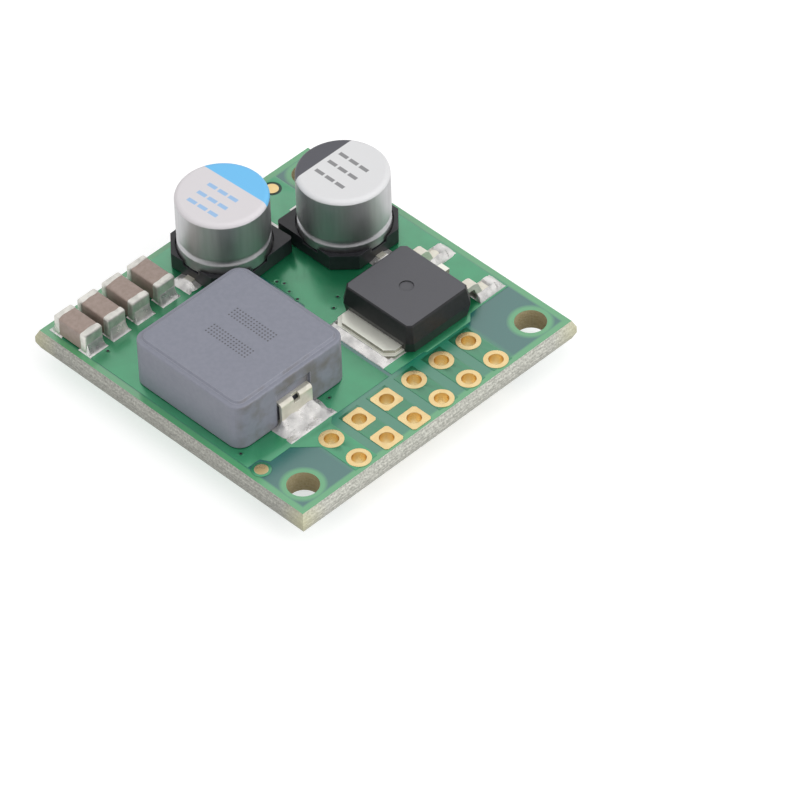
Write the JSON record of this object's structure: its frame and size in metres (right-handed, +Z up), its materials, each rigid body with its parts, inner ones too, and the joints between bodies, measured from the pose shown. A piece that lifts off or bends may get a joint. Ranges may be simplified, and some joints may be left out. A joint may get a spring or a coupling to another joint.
{
  "type": "buck converter module",
  "caption": "Square circuit board module that steps a voltage down, with a moulded inductor, can capacitors, a power transistor and two rows of pin holes.",
  "frame": {"origin": "under the centre of the board, level with the underside parts that the module stands on", "axes": "+X along the rows of pin holes, +Y from the pin edge to the rear edge, +Z up"},
  "size_m": [0.0254, 0.0254, 0.009],
  "materials": {
    "board": "green solder mask over glass fibre laminate",
    "gold": "gold plate",
    "tin": "tinned metal",
    "solder": "bright solder",
    "powder": "matt pressed powder",
    "can": "satin",
    "base": "matt black",
    "mould": "matt black",
    "ceramic": "fired, dull",
    "resistor": "black glaze"
  },
  "bodies": {
    "root": {"aiming_marks": "gold", "circuit_board": "board", "controller_body": "mould", "controller_contacts": "tin", "inductor_case": "powder", "inductor_front_terminal": "tin", "inductor_rear_terminal": "tin", "inductor_solder": "solder", "left_can": "can", "left_can_base": "base", "left_can_negative_lead": "tin", "left_can_positive_lead": "tin", "left_can_solder": "solder", "left_switch_body": "mould", "left_switch_contacts": "tin", "rear_ceramic_1": "ceramic", "rear_ceramic_1_end_caps": "tin", "rear_ceramic_2": "ceramic", "rear_ceramic_2_end_caps": "tin", "rear_ceramic_3": "ceramic", "rear_ceramic_3_end_caps": "tin", "rear_ceramic_4": "ceramic", "rear_ceramic_4_end_caps": "tin", "rear_ceramic_solder": "solder", "resistor_bodies": "resistor", "resistor_end_caps": "tin", "right_can": "can", "right_can_base": "base", "right_can_negative_lead": "tin", "right_can_positive_lead": "tin", "right_can_solder": "solder", "right_switch_body": "mould", "right_switch_contacts": "tin", "round_pin_platings": "gold", "small_capacitor_bodies": "ceramic", "small_capacitor_end_caps": "tin", "small_part_solder": "solder", "square_pin_platings": "gold", "transistor_body": "mould", "transistor_front_lead": "tin", "transistor_rear_lead": "tin", "transistor_solder": "solder", "transistor_tab": "tin", "under_ceramic_1": "ceramic", "under_ceramic_1_end_caps": "tin", "under_ceramic_2": "ceramic", "under_ceramic_2_end_caps": "tin", "under_ceramic_3": "ceramic", "under_ceramic_3_end_caps": "tin", "under_ceramic_4": "ceramic", "under_ceramic_4_end_caps": "tin", "under_ceramic_solder": "solder", "under_chip_solder": "solder"}
  },
  "joints": []
}
